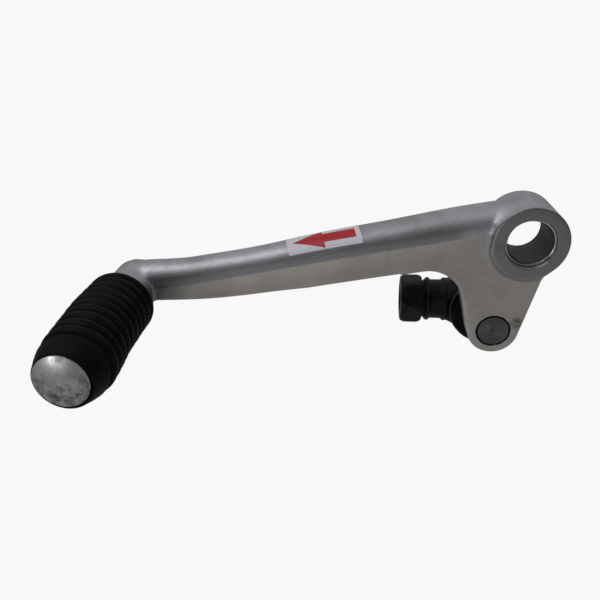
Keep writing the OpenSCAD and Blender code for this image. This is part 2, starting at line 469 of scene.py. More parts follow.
def lever_distance(x, y, z):
    """Distance to the forging: arm, leg, boss and eye, less its bore and two pin seats."""
    fy, by = front_y(x), back_y(x)
    bottom = ridge_z(x) - face_h(x)
    radius, dome_y, dome_z = dome(x)
    top = np.hypot(y - dome_y, np.maximum(z - dome_z, 0)) - radius
    bar = round_and(round_and(fy - y, top, 0.35), bottom - z, 1.3)
    bar = round_and(round_and(bar, y - by, 0.6), bottom - z, 1.3)
    bar = np.maximum(bar, np.maximum(PEG_X - x, x))

    strip = np.maximum(np.maximum(bottom - z, z - bottom - 5), x - STUD_X)
    outline = round_or(strip, tapered_leg(x, z), CROTCH_R)
    outline = np.maximum(outline, np.maximum(z + 1, PLATE_END_X - x))
    plate = round_and(outline, fy - y, 1.2)
    plate = round_and(plate, y - LEG_BACK_Y, 2.2)
    body = round_or(bar, plate, 0.02 + 3 * smooth_step(y, -5.0, 1.0))

    boss = round_and(np.hypot(x, z) - BOSS_R, np.abs(y) - BOSS_HALF, 0.6)
    body = round_or(body, boss, BOSS_FILLET)

    reach = np.hypot(x - PEG_X, z - PEG_Z) - EYE_R
    eye = round_and(reach, y - EYE_BACK_Y, 3.0)
    eye = round_and(eye, EYE_FRONT_Y - y, 0.5)
    body = round_or(body, eye, EYE_FILLET)

    # Seen from the front, fillets stay inside the arm, the leg, the boss and the eye.
    shadow = np.minimum(outline, np.maximum(z - dome_z - radius, bottom - z))
    shadow = round_or(shadow, np.hypot(x, z) - BOSS_R, 0.8)
    body = np.maximum(body, round_or(shadow, reach, 2.0))

    bore = np.hypot(x, z) - BUSH_R - 0.45
    rivet = np.hypot(x - STUD_X, z - STUD_Z) - RIVET_R - 0.15
    rivet = np.maximum(rivet, y - FACE_Y - 2)
    pin = np.maximum(np.hypot(x - PEG_X, z - PEG_Z) - SPIGOT_R - 0.1, EYE_BACK_Y - 1 - y)
    return np.maximum(body, -np.minimum(np.minimum(bore, rivet), pin))


def add_lever(material):
    """The forging, with a mask for each finish that its material gives it, and masks for
    painted shade above the ridge, painted light under it and a painted shadow at the tip.
    """
    low, high = lever_low - 1.5, lever_high + 1.5
    piece, points, normals = solid_object(
        "lever_forging", lever_distance, low, high, 0.4, material
    )
    x, y, z = points.T
    flat = smooth_step(-normals[:, 1], 0.5, 0.8)
    above = z - ridge_z(x) + GROUND_DROP
    on_face = 1 - smooth_step(np.abs(y - front_y(x)), 0.6, 1.1)
    on_face *= 1 - smooth_step(above, -0.1, 0.3)
    # Painted shade: a band of the rounded top just above where the ground face starts is
    # darkened, in place of the darker surroundings that it reflects.
    dull = smooth_step(above, -0.1, 0.3) * (1 - smooth_step(above, 2.5, 6.5))
    dull *= smooth_step(-normals[:, 1], 0.2, 0.5) * smooth_step(-x, 20, 28)
    # Painted light: the front face is lightened in a band just under the ridge.
    bright = (1 - smooth_step(-above, 0.5, 7.0)) * smooth_step(-x, 20, 32)
    # Painted shadow: the front face at the tip, beside the peg, is darkened as if shaded by the
    # rubber.
    soiled = smooth_step(-x, 118, 138) * (1 - smooth_step(above, -0.5, 3.0)) * (y < -8)
    ends = smooth_step(np.abs(y), BOSS_HALF - 0.8, BOSS_HALF - 0.3)
    out = np.hypot(x, z)
    ends *= out < BOSS_R + 0.2
    corner = smooth_step(out, BOSS_R - 0.4, BOSS_R + 0.2)
    corner *= 1 - smooth_step(out, BOSS_R + 1.2, BOSS_R + 2.6)
    corner *= smooth_step(BOSS_HALF - np.abs(y), 0.2, 0.6) * (y < 0) * (z < 9 + 0.4 * x)
    masks = {
        "linished": flat * on_face * (1 - ends),
        "dull": dull,
        "bright": bright,
        "soiled": soiled,
        "turned": np.maximum(ends, 0.75 * corner),
    }
    for name, values in masks.items():
        add_attribute(piece, name, values)
    return piece


def add_boss_end(name, side, material):
    """Skin of the boss: its turned end face and the edge of its bore, at one end."""
    face = BOSS_HALF + 0.02
    piece = revolve(name, rounded([
        (BUSH_R + 0.02, side * (BOSS_HALF - 3), 0),
        (BUSH_R + 0.02, side * (face - 0.3), 0.05),
        (BUSH_R + 0.32, side * face, 0.05),
        (BOSS_R - 0.55, side * face, 0.05),
        (BOSS_R - 0.55, side * (face - 0.2), 0),
        (BUSH_R + 0.5, side * (BOSS_HALF - 3), 0),
    ]), (0, 0), material)
    add_attribute(piece, "linished", np.zeros(len(piece.data.vertices)))
    add_attribute(piece, "turned", np.ones(len(piece.data.vertices)))
    return piece


# ---------------------------------------------------------------- toe peg, bush and stud

def add_peg_pin(material):
    """Turned peg: domed head, plain post inside the rubber and a spigot in the arm's eye."""
    crown = CAP_R * 0.94
    dome_r = (crown ** 2 + CAP_DOME ** 2) / (2 * CAP_DOME)
    profile = []
    for i in range(15):
        r = crown * i / 14
        profile.append((r, CAP_RIM_Y - CAP_DOME + dome_r - math.sqrt(dome_r ** 2 - r * r)))
    profile += rounded([
        (crown, CAP_RIM_Y, 0),
        (CAP_R, CAP_RIM_Y + 0.15, 0.3),
        (CAP_R, CAP_RIM_Y + 2.2, 0.3),
        (POST_R, CAP_RIM_Y + 2.2, 0.3),
        (POST_R, EYE_FRONT_Y, 0.1),
        (SPIGOT_R, EYE_FRONT_Y, 0.1),
        (SPIGOT_R, EYE_BACK_Y, 0.4),
        (0, EYE_BACK_Y, 0),
    ])
    piece = revolve("toe_peg_pin", profile, (PEG_X, PEG_Z), material)
    sag(piece, (0.5, -0.5, -1.15))
    return piece


def add_peg_rubber(material, rib_count=10):
    """Ribbed sleeve with a smooth collar that ends in a thin lip round the peg's head."""
    collar_len = 9.5
    groove = 1.35
    inner_y = EYE_FRONT_Y - 0.4
    ribs_y = CAP_RIM_Y + collar_len
    pitch = (inner_y - ribs_y) / rib_count
    steps = 14
    ribs = []
    for i in range(rib_count * steps + 1):
        u = (i % steps) / steps
        swell = abs(math.sin(math.pi * u)) ** 0.55
        end = min(1, (rib_count * steps - i) / steps * 1.6 + 0.55)
        radius = RUBBER_R * (0.972 + 0.028 * end) - groove * (1 - swell)
        ribs.append((radius, ribs_y + i * pitch / steps))
    collar = rounded([
        (CAP_R + 0.05, CAP_RIM_Y + 1.2, 0),
        (CAP_R + 0.1, CAP_RIM_Y + 0.12, 0.12),
        (CAP_R + 0.7, CAP_RIM_Y + 0.3, 0.3),
        (RUBBER_R - 1.5, CAP_RIM_Y + 4.0, 3.0),
        (RUBBER_R - 0.4, CAP_RIM_Y + collar_len - 1.6, 1.5),
    ])
    bore = rounded([
        (RUBBER_R - groove - 1.4, inner_y, 0.4),
        (POST_R + 0.05, inner_y, 0.3),
        (POST_R + 0.05, CAP_RIM_Y + 2.25, 0),
        (CAP_R + 0.05, CAP_RIM_Y + 2.25, 0),
    ])
    profile = collar + ribs + bore
    piece = revolve("toe_peg_rubber", profile, (PEG_X, PEG_Z), material, 220, 50)
    soften_ribs(piece, ribs_y, inner_y)
    sag(piece, (1.0, -0.5, -1.15))
    return piece


def sag(piece, shift):
    """The peg droops a little: its outer end is moved by shift, eased in along the peg."""
    points = vertex_places(piece)
    share = smooth_step(-points[:, 1], -SAG_SPAN[0], -SAG_SPAN[1])[:, None]
    move_vertices(piece, points + share * np.array(shift))


def soften_ribs(piece, start_y, end_y):
    """Moulded ribs are never quite true: a small slow wander round the sleeve."""
    points = vertex_places(piece)
    angle = np.arctan2(points[:, 2] - PEG_Z, points[:, 0] - PEG_X)
    inside = smooth_step(points[:, 1], start_y, start_y + 4)
    inside *= 1 - smooth_step(points[:, 1], end_y - 4, end_y)
    wander = np.sin(angle * 2 + points[:, 1] * 0.35) + 0.5 * np.sin(angle * 5 - points[:, 1])
    points[:, 1] += 0.16 * wander * inside
    points[:, 0] += 0.05 * wander * inside * np.cos(angle)
    points[:, 2] += 0.05 * wander * inside * np.sin(angle)
    move_vertices(piece, points)


def add_bush(shell_material, lining_material):
    """Wrapped dry bush: a steel shell and the thin lining that the bolt runs on."""
    inner = BORE_R + LINING_T
    shell = revolve("dry_bush_shell", rounded([
        (inner, -BUSH_HALF, 0.45),
        (BUSH_R, -BUSH_HALF, 0.25),
        (BUSH_R, BUSH_HALF, 0.25),
        (inner, BUSH_HALF, 0.45),
    ]), (0, 0), shell_material)
    lining = revolve("dry_bush_lining", rounded([
        (BORE_R, 0.9 - BUSH_HALF, 0.15),
        (inner, 0.5 - BUSH_HALF, 0),
        (inner, BUSH_HALF - 0.5, 0),
        (BORE_R, BUSH_HALF - 0.9, 0.15),
    ]), (0, 0), lining_material)
    return shell, lining


def add_ball_stud(material):
    """Riveted head with turning rings and a centre mark, shank, flange, neck and ball."""
    head = [(0, FACE_Y + 0.75), (0.25, FACE_Y + 0.7), (0.75, FACE_Y + 0.16)]
    for i in range(7):
        r = 1.0 + i * 0.72
        head += [(r, FACE_Y + 0.13), (r + 0.22, FACE_Y + 0.04), (r + 0.5, FACE_Y + 0.05)]
    body = rounded([
        (RIVET_R - 0.12, FACE_Y + 0.05, 0.25),
        (RIVET_R - 0.12, FACE_Y + 3, 0),
        (STUD_SHANK_R, FACE_Y + 3, 0),
        (STUD_SHANK_R, LEG_BACK_Y, 0),
        (FLANGE_R, LEG_BACK_Y, 0.25),
        (FLANGE_R, LEG_BACK_Y + FLANGE_T, 0.35),
        (NECK_R, LEG_BACK_Y + FLANGE_T, 0.3),
    ])
    ball_r = stud_high[1] - BALL_Y
    first = math.asin(NECK_R / ball_r)
    ball = []
    for i in range(25):
        a = mix(first, math.pi, i / 24)
        ball.append((ball_r * math.sin(a), BALL_Y - ball_r * math.cos(a)))
    return revolve("ball_stud_turned", head + body + ball, (STUD_X, STUD_Z), material)


# ---------------------------------------------------------------- sticker

LABEL_X = (-88.2, -61.3)
LABEL_ARC = (-60.0, 26.0)
ARROW_ANGLE = -24.0
LABEL_SKEW = -0.034
LABEL_LIFT = 0.06


def dome_patch(name, rows, lift, thickness, material):
    """Thin sheet on the arm's rounded top; rows are (x, lowest angle, highest angle)."""
    columns = 24
    points, faces = [], []
    for x, low, high in rows:
        for layer in (lift, lift - thickness):
            angles = np.linspace(low, high, columns + 1)
            askew = x + LABEL_SKEW * (angles - ARROW_ANGLE)
            points += dome_point(askew, angles, layer).tolist()
    stride = columns + 1
    for r in range(len(rows) - 1):
        a, b = 2 * r * stride, 2 * (r + 1) * stride
        for c in range(columns):
            faces.append([a + c, a + c + 1, b + c + 1, b + c])
            faces.append([a + stride + c, b + stride + c, b + stride + c + 1,
                          a + stride + c + 1])
        for c in (0, columns):
            faces.append([a + c, b + c, b + stride + c, a + stride + c])
    for r in (0, len(rows) - 1):
        a = 2 * r * stride
        for c in range(columns):
            faces.append([a + c, a + stride + c, a + stride + c + 1, a + c + 1])
    piece = mesh_object(name, points, faces, material)
    fix_normals(piece)
    return piece


def add_label(vinyl, ink):
    """White sticker and the plain arrow printed on it, pointing at the toe peg."""
    x0, x1 = LABEL_X
    low, high = LABEL_ARC
    middle = ARROW_ANGLE
    corner = 0.3
    dome_r = 7.5
    rows = []
    for i in range(61):
        x = mix(x0, x1, i / 60)
        inset = max(0.0, corner - min(x - x0, x1 - x))
        trim = corner - math.sqrt(max(0.0, corner ** 2 - inset ** 2))
        cut = math.degrees(trim / dome_r)
        rows.append((x, low + cut, high - cut))
    sticker = dome_patch("direction_sticker", rows, LABEL_LIFT, 0.12, vinyl)

    tip, neck, tail = x0 + 2.2, x0 + 13.4, x1 - 1.8
    head, shaft = 32.5, 16.0
    rows = [(mix(tip, neck, i / 24), middle - head * max(i, 0.3) / 24,
             middle + head * max(i, 0.3) / 24) for i in range(25)]
    rows += [(mix(neck + 0.01, tail, i / 24), middle - shaft, middle + shaft)
             for i in range(25)]
    arrow = dome_patch("direction_arrow", rows, LABEL_LIFT + 0.03, 0.05, ink)
    return sticker, arrow


# ---------------------------------------------------------------- ball joint

def hexagon(u, v, across_flats):
    """Distance to a hexagonal bar's outline, with a flat facing straight up."""
    best = None
    for k in range(3):
        a = math.radians(60 * k)
        side = np.abs(u * math.sin(a) + v * math.cos(a)) - across_flats / 2
        best = side if best is None else np.maximum(best, side)
    return best


def housing_distance(x, y, z):
    """The housing in its own place: x, y, z are counted from the ball's centre."""
    across = np.hypot(x, z)
    ring = np.hypot(y, z)
    back = housing_high[1] - BALL_Y
    front = -HOUSING_FRONT
    barrel = round_and(across - HOUSING_R, np.maximum(front - y, y - back), 1.0)
    shank = np.maximum(ring - SHANK_R, np.maximum(x, OPEN_X + 1 - x))
    neck = round_or(barrel, shank, 7.0)
    neck = round_and(round_and(neck, front - y, 0.8), y - back, 0.8)
    beads_at = (OPEN_X + HEX_LEN + 2.4, OPEN_X + HEX_LEN + 9.6)
    for place in beads_at:
        bead = np.hypot(ring - SHANK_R - 0.1, (x - place) * 0.8) - 0.8
        neck = round_or(neck, bead, 0.35)
    spigot = np.maximum(across - 10.5, np.maximum(front - 2 - y, y))
    body = np.minimum(neck, spigot)

    middle = OPEN_X + HEX_LEN / 2
    bar = round_and(hexagon(y, z, HEX_AF), np.abs(x - middle) - HEX_LEN / 2, 0.35)
    bevel = ring + np.abs(x - middle) * 0.6 - HEX_AF / 2 - HEX_LEN * 0.6 / 2
    bar = round_and(round_and(bar, bevel, 0.5), ring - HEX_AF * 0.545, 0.4)
    groove = OPEN_X + HEX_LEN + 0.55
    body = np.maximum(body, -np.maximum(SHANK_R - 0.5 - ring, np.abs(x - groove) - 0.45))
    body = np.minimum(body, bar)

    turn = np.arctan2(z, y) / (2 * math.pi) + (x - OPEN_X) / THREAD_PITCH
    crest = np.abs(turn - np.floor(turn) - 0.5) * 2
    mouth = np.maximum(OPEN_X + 1.0 - x, 0)
    thread = (ring - THREAD_R - 0.75 * crest * (x > OPEN_X) - mouth) * 0.8
    thread = np.maximum(thread, x - OPEN_X - THREAD_DEPTH)
    cavity = np.sqrt(across ** 2 + y ** 2) - CAVITY_R
    cavity = np.minimum(cavity, np.maximum(across - 7.4, y))
    seat_y = plug_low[1] - BALL_Y
    cavity = np.minimum(cavity, np.maximum(across - CAVITY_R, -y))
    recess = np.maximum(across - PLUG_R, seat_y - y)
    lip = plug_high[1] - BALL_Y
    recess = np.maximum(recess, across - np.where(y > lip, 10.2, PLUG_R))
    cavity = np.minimum(cavity, recess)
    return np.maximum(body, -np.minimum(cavity, thread))


def add_housing(material):
    def distance(x, y, z):
        return housing_distance(x - STUD_X, y - BALL_Y, z - STUD_Z)

    low, high = housing_low - 1.5, housing_high + 1.5
    return solid_object("joint_body", distance, low, high, 0.27, material)[0]


def add_plug(material):
    """Pressed-in closing plug with a shallow dish."""
    y0, y1 = plug_low[1], plug_high[1]
    return revolve("joint_plug", rounded([
        (0, y0, 0),
        (PLUG_R, y0, 0.2),
        (PLUG_R, y1, 0.2),
        (8.2, y1, 0.4),
        (6.6, y1 - 0.9, 0.5),
        (0, y1 - 0.9, 0),
    ]), (STUD_X, STUD_Z), material)


def add_boot(material):
    """Rubber bellows from the stud's neck to the housing, with one deep fold."""
    y0 = LEG_BACK_Y + 1.6
    y1 = BALL_Y - HOUSING_FRONT
    outside = [
        (4.65, y0 + 0.8, 0), (5.4, y0 + 0.3, 0.4), (8.6, y0 + 0.5, 1.0),
        (12.4, y0 + 1.0, 1.2), (BOOT_R - 0.15, y0 + 2.4, 1.0),
        (BOOT_R, y1 - 2.0, 0.3), (BOOT_R - 0.6, y1 - 1.9, 0.2),
        (BOOT_R - 0.6, y1 - 1.1, 0.2), (BOOT_R, y1 - 1.0, 0.3),
        (BOOT_R - 0.1, y1 - 0.1, 0.4),
    ]
    inside = [
        (10.6, y1 - 0.1, 0.2), (10.6, y1 - 1.9, 0.4), (12.2, y1 - 2.4, 0.6),
        (12.0, y0 + 2.3, 0.8), (8.4, y0 + 1.7, 0.8), (6.6, y0 + 1.4, 0.5),
        (4.65, y0 + 1.0, 0.1),
    ]
    return revolve("joint_bellows", rounded(outside + inside, 7),
                   (STUD_X, STUD_Z), material, 160, 60)


def add_boot_ring(material):
    """Round wire that clamps the boot in its groove."""
    y = BALL_Y - HOUSING_FRONT - 1.5
    wire = 0.42
    profile = []
    for i in range(16):
        a = 2 * math.pi * i / 16
        profile.append((BOOT_R - 0.15 + wire * math.cos(a), y + wire * math.sin(a)))
    return revolve("bellows_wire", profile, (STUD_X, STUD_Z), material)


# ---------------------------------------------------------------- materials

class Shader:
    """A material whose look is built from nodes that read the object's own coordinates."""

    def __init__(self, name, base, metallic=0.0, roughness=0.5, **fixed):
        self.material = bpy.data.materials.new(name)
        self.material.use_nodes = True
        self.nodes = self.material.node_tree.nodes
        self.links = self.material.node_tree.links
        self.surface = self.nodes["Principled BSDF"]
        self.place = self.nodes.new("ShaderNodeTexCoord").outputs["Object"]
        self.set("Base Color", (*base, 1.0))
        self.set("Metallic", metallic)
        self.set("Roughness", roughness)
        for socket, value in fixed.items():
            self.set(socket.replace("_", " "), value)
        self.colour = base
        self.heights = []

    def set(self, socket, value):
        self.surface.inputs[socket].default_value = value

    def add(self, kind, links=(), **settings):
        node = self.nodes.new(kind)
        for key, value in settings.items():
            if hasattr(node, key):
                setattr(node, key, value)
            else:
                node.inputs[key.replace("_", " ")].default_value = value
        for socket, source in dict(links).items():
            self.links.new(source, node.inputs[socket])
        return node

    def stretched(self, scale, turn=(0, 0, 0)):
        """The object's coordinates in millimetres, scaled along each axis."""
        node = self.add("ShaderNodeMapping", {"Vector": self.place})
        node.inputs["Scale"].default_value = [s / MM for s in scale]
        node.inputs["Rotation"].default_value = [math.radians(t) for t in turn]
        return node.outputs["Vector"]

    def noise(self, scale, detail=4.0, rough=0.55, turn=(0, 0, 0), twist=0.0):
        scale = scale if isinstance(scale, tuple) else (scale,) * 3
        node = self.add("ShaderNodeTexNoise", {"Vector": self.stretched(scale, turn)},
                        Scale=1.0, Detail=detail, Roughness=rough, Distortion=twist)
        return node.outputs["Fac"]

    def remap(self, value, low, high, out_low=0.0, out_high=1.0):
        node = self.add("ShaderNodeMapRange", {"Value": value})
        for key, number in (("From Min", low), ("From Max", high),
                            ("To Min", out_low), ("To Max", out_high)):
            node.inputs[key].default_value = number
        return node.outputs["Result"]

    def math(self, operation, a, b=None):
        node = self.nodes.new("ShaderNodeMath")
        node.operation = operation
        for socket, value in zip(node.inputs, (a, b)):
            if value is None:
                continue
            if isinstance(value, (int, float)):
                socket.default_value = value
            else:
                self.links.new(value, socket)
        return node.outputs["Value"]

    def attribute(self, name):
        return self.add("ShaderNodeAttribute", attribute_name=name).outputs["Fac"]

    def blend_colour(self, share, a, b):
        """Mix of two colours or colour outputs."""
        node = self.nodes.new("ShaderNodeMix")
        node.data_type = "RGBA"
        self.links.new(share, node.inputs["Factor"])
        for socket, value in (("A", a), ("B", b)):
            target = [s for s in node.inputs if s.name == socket and s.type == "RGBA"][0]
            if isinstance(value, tuple):
                target.default_value = (*value, 1.0)
            else:
                self.links.new(value, target)
        return [s for s in node.outputs if s.type == "RGBA"][0]

    def use_colour(self, output):
        self.links.new(output, self.surface.inputs["Base Color"])

    def use_roughness(self, output):
        self.links.new(output, self.surface.inputs["Roughness"])

    def bump(self, height, depth_mm, strength=1.0):
        """Adds relief; each call rides on the one before it."""
        links = {"Height": height}
        if self.heights:
            links["Normal"] = self.heights[-1]
        node = self.add("ShaderNodeBump", links, Strength=strength, Distance=depth_mm * MM)
        self.heights.append(node.outputs["Normal"])
        self.links.new(node.outputs["Normal"], self.surface.inputs["Normal"])

    def radial(self, centre):
        """Distance in millimetres from a Y axis through centre (x, z)."""
        node = self.add("ShaderNodeSeparateXYZ", {"Vector": self.place})
        dx = self.math("SUBTRACT", node.outputs["X"], centre[0] * MM)
        dz = self.math("SUBTRACT", node.outputs["Z"], centre[1] * MM)
        square = self.math("ADD", self.math("MULTIPLY", dx, dx), self.math("MULTIPLY", dz, dz))
        return self.math("DIVIDE", self.math("SQRT", square), MM)

    def turning(self, centre, per_mm, detail=3.0):
        """Uneven rings round a Y axis through centre (x, z), as a lathe tool leaves."""
        node = self.add("ShaderNodeTexNoise", noise_dimensions="1D", Scale=1.0, Detail=detail)
        self.links.new(self.math("MULTIPLY", self.radial(centre), per_mm), node.inputs["W"])
        return node.outputs["Fac"]


def forged_alloy():
    """Tumbled satin skin, belt-ground flat face and turned boss faces on one forging, with
    painted shade above the ridge, a painted highlight band under it and a painted shadow at the
    tip.
    """
    s = Shader("forged_alloy", (0.70, 0.70, 0.71), metallic=1.0, roughness=0.36)
    linished = s.attribute("linished")
    turned = s.attribute("turned")
    mottle = s.noise(0.12, detail=6)
    skin = s.blend_colour(s.remap(mottle, 0.35, 0.7), (0.70, 0.71, 0.745), (0.58, 0.59, 0.625))
    grain = s.noise(1.1, detail=5, rough=0.75)
    skin = s.blend_colour(s.remap(grain, 0.52, 0.72, 0.0, 0.6), skin, (0.92, 0.92, 0.93))
    grind = s.noise((0.05, 1.2, 3.0), detail=5, turn=(0, 8, 0))
    ground = s.blend_colour(s.remap(grind, 0.3, 0.7), (0.72, 0.685, 0.635), (0.64, 0.61, 0.565))
    # Painted shade: the skin is darkened in the band above the ridge.
    skin = s.blend_colour(s.attribute("dull"), skin, (0.47, 0.465, 0.49))
    # Painted light: the ground face is lightened in the band under the ridge.
    ground = s.blend_colour(s.attribute("bright"), ground, (0.84, 0.80, 0.745))
    colour = s.blend_colour(linished, skin, ground)
    # Painted shadow: the face is darkened at the tip beside the peg.
    colour = s.blend_colour(s.math("MULTIPLY", s.attribute("soiled"), 0.7), colour,
                            (0.20, 0.19, 0.18))
    rings = s.turning((0, 0), 7.0)
    lathe = s.blend_colour(s.remap(rings, 0.3, 0.7), (0.42, 0.42, 0.425), (0.30, 0.30, 0.305))
    colour = s.blend_colour(turned, colour, lathe)
    cloud = s.remap(s.noise(0.055, detail=3, rough=0.5), 0.40, 0.66, 0.0, 0.36)
    colour = s.blend_colour(cloud, colour, (0.36, 0.345, 0.33))
    grime = s.remap(s.noise(0.07, detail=7, rough=0.65, twist=0.6), 0.56, 0.76, 0.0, 0.6)
    colour = s.blend_colour(grime, colour, (0.30, 0.285, 0.265))
    smear = s.remap(s.noise(0.30, detail=6, rough=0.7, twist=0.8), 0.36, 0.52)
    near = s.remap(s.radial((STUD_X + 8.2, STUD_Z + 3.6)), 3.2, 0.8, 0.0, 0.9)
    colour = s.blend_colour(s.math("MULTIPLY", smear, near), colour, (0.13, 0.11, 0.10))
    s.use_colour(colour)
    rough = s.remap(s.noise(1.0, detail=4, rough=0.7), 0.3, 0.7, 0.34, 0.54)
    rough = s.math("ADD", rough, s.math("MULTIPLY", linished, 0.08))
    s.use_roughness(s.math("SUBTRACT", rough, s.math("MULTIPLY", turned, 0.06)))
    blasted = s.noise(2.6, detail=4, rough=0.7)
    plain = s.math("SUBTRACT", 1.0, s.math("MAXIMUM", linished, turned))
    s.bump(s.math("MULTIPLY", blasted, plain), 0.08, 0.7)
    s.bump(s.math("MULTIPLY", s.noise(0.35, detail=3), plain), 0.10, 0.5)
    s.bump(s.math("MULTIPLY", grind, linished), 0.02, 0.35)
    s.bump(s.math("MULTIPLY", rings, turned), 0.015, 0.4)
    return s.material


def turned_alloy():
    """Satin turned head with darker stains, as handled bare aluminium gets."""
    s = Shader("turned_alloy", (0.72, 0.72, 0.72), metallic=1.0, roughness=0.34)
    stain = s.noise(0.30, detail=7, rough=0.68, twist=0.4)
    patch = s.remap(stain, 0.40, 0.60, 0.0, 0.9)
    # The stain share rises from a quarter at the top of the head to full at the bottom, so the
    # head is darker towards the bottom.
    low = s.add("ShaderNodeSeparateXYZ", {"Vector": s.place}).outputs["Z"]
    share = s.remap(low, (PEG_Z + 5) * MM, (PEG_Z - 3) * MM, 0.25, 1.0)
    patch = s.math("MULTIPLY", patch, share)
    s.use_colour(s.blend_colour(patch, (0.56, 0.56, 0.57), (0.12, 0.118, 0.11)))
    s.use_roughness(s.remap(stain, 0.4, 0.65, 0.26, 0.48))
    s.bump(s.turning((PEG_X, PEG_Z), 5.0, detail=2.0), 0.01, 0.3)
    s.bump(s.noise(1.8, detail=3), 0.02, 0.3)
    return s.material


def turned_steel(name, base, rough, centre, stain=(0.16, 0.15, 0.14)):
    """Bare steel with turning rings about centre (x, z) and a few stained spots."""
    s = Shader(name, base, metallic=1.0, roughness=rough)
    rings = s.turning(centre, 6.0)
    dark = tuple(c * 0.72 for c in base)
    colour = s.blend_colour(s.remap(rings, 0.35, 0.65), base, dark)
    spots = s.remap(s.noise(0.5, detail=6, rough=0.65), 0.55, 0.72, 0.0, 0.6)
    s.use_colour(s.blend_colour(spots, colour, stain))
    s.use_roughness(s.remap(s.noise(0.9), 0.3, 0.7, rough * 0.85, rough * 1.25))
    s.bump(rings, 0.04, 0.7)
    return s.material


def bush_lining_material():
    """Dark sliding layer with the fine axial rubbing that a bolt leaves."""
    s = Shader("bush_lining", (0.10, 0.10, 0.098), metallic=0.35, roughness=0.42)
    fine = s.noise((1.6, 0.12, 1.6), detail=5)
    cloud = s.noise(0.25, detail=4)
    rubbed = s.remap(fine, 0.3, 0.7, 0.4, 1.0)
    tone = s.math("MULTIPLY", rubbed, s.remap(cloud, 0.3, 0.7, 0.5, 1.0))
    s.use_colour(s.blend_colour(tone, (0.03, 0.03, 0.029), (0.085, 0.084, 0.08)))
    s.use_roughness(s.remap(cloud, 0.3, 0.7, 0.36, 0.52))
    s.bump(fine, 0.02, 0.4)
    return s.material


def rubber(name, base, rough, dust):
    """Black moulded rubber with a fine skin and dust that gathers where it is rubbed."""
    s = Shader(name, base, roughness=rough, Specular_IOR_Level=0.09)
    cloud = s.noise(0.16, detail=6, rough=0.6)
    grain = s.noise(3.2, detail=3)
    veil = s.remap(cloud, 0.42, 0.72, 0.0, dust)
    colour = s.blend_colour(veil, base, (0.018, 0.018, 0.022))
    s.use_colour(colour)
    s.use_roughness(s.remap(cloud, 0.3, 0.7, rough * 0.88, rough * 1.18))
    s.bump(grain, 0.03, 0.35)
    s.bump(cloud, 0.12, 0.25)
    return s.material


def black_coating():
    """Black finish on steel, with its worn spots on the hexagon's corners."""
    s = Shader("black_coating", (0.006, 0.006, 0.008), roughness=0.34,
               Specular_IOR_Level=0.22)
    cloud = s.noise(0.3, detail=5)
    colour = s.blend_colour(s.remap(cloud, 0.35, 0.7),
                            (0.004, 0.004, 0.006), (0.012, 0.012, 0.015))
    split = s.add("ShaderNodeSeparateXYZ", {"Vector": s.place})
    dy = s.math("SUBTRACT", split.outputs["Y"], BALL_Y * MM)
    dz = s.math("SUBTRACT", split.outputs["Z"], STUD_Z * MM)
    out = s.math("SQRT", s.math("ADD", s.math("MULTIPLY", dy, dy), s.math("MULTIPLY", dz, dz)))
    corner = s.remap(out, 9.95 * MM, 10.4 * MM)
    hex_root = STUD_X + OPEN_X + HEX_LEN
    on_hex = s.remap(split.outputs["X"], (hex_root + 1.5) * MM, (hex_root + 0.5) * MM)
    chipped = s.remap(s.noise(1.3, detail=5, rough=0.7), 0.52, 0.60)
    wear = s.math("MULTIPLY", s.math("MULTIPLY", corner, on_hex), chipped)
    s.use_colour(s.blend_colour(wear, colour, (0.06, 0.056, 0.05)))
    s.use_roughness(s.remap(cloud, 0.3, 0.7, 0.27, 0.44))
    s.bump(s.noise(1.9, detail=4), 0.04, 0.35)
    return s.material


def vinyl(name, base, tint, rough):
    """Printed sticker film, faintly uneven where it lies on the metal."""
    s = Shader(name, base, roughness=rough, Specular_IOR_Level=0.5)
    cloud = s.noise(0.5, detail=5)
    fleck = s.noise(1.5, detail=3)
    share = s.math("MULTIPLY", s.remap(cloud, 0.4, 0.75, 0.0, 0.6), s.remap(fleck, 0.35, 0.7))
    s.use_colour(s.blend_colour(share, base, tint))
    s.use_roughness(s.remap(cloud, 0.3, 0.7, rough * 0.85, rough * 1.2))
    s.bump(cloud, 0.03, 0.3)
    return s.material


def seat_plastic():
    """Off-white moulded plastic for the seat that the CAD model brings with it."""
    s = Shader("seat_plastic", (0.72, 0.70, 0.62), roughness=0.45)
    cloud = s.noise(0.4, detail=4)
    s.use_colour(s.blend_colour(cloud, (0.74, 0.72, 0.64), (0.66, 0.63, 0.55)))
    s.use_roughness(s.remap(cloud, 0.3, 0.7, 0.38, 0.52))
    s.bump(s.noise(1.2), 0.02, 0.3)
    return s.material


# ---------------------------------------------------------------- stage and light

PALE = 0.94
STUDIO_TONES = (  # share of the way up, tone
    (0.0, 0.32), (0.30, 0.10), (0.55, 0.06), (0.70, 0.18), (0.85, 0.33), (1.0, 0.33),
)


def add_stage():
    """Plain pale floor, well below the lever, which hangs on its pivot."""
    s = Shader("floor", (0.24, 0.24, 0.24), roughness=0.9)
    tone = s.noise(0.004, detail=2)
    s.use_colour(s.blend_colour(tone, (0.66, 0.66, 0.66), (0.60, 0.60, 0.60)))
    pale = s.add("ShaderNodeEmission", Color=(PALE, PALE, PALE, 1.0), Strength=1.0)
    seen = s.add("ShaderNodeLightPath").outputs["Is Camera Ray"]
    both = s.add("ShaderNodeMixShader", {"Fac": seen})
    s.links.new(s.surface.outputs[0], both.inputs[1])
    s.links.new(pale.outputs[0], both.inputs[2])
    s.links.new(both.outputs[0], s.nodes["Material Output"].inputs["Surface"])
    half, level = 3.0, -0.16
    mesh = bpy.data.meshes.new("floor")
    mesh.from_pydata([(-half, -half, level), (half, -half, level),
                      (half, half, level), (-half, half, level)], [], [[0, 1, 2, 3]])
    mesh.materials.append(s.material)
    floor = bpy.data.objects.new("floor", mesh)
    bpy.context.collection.objects.link(floor)


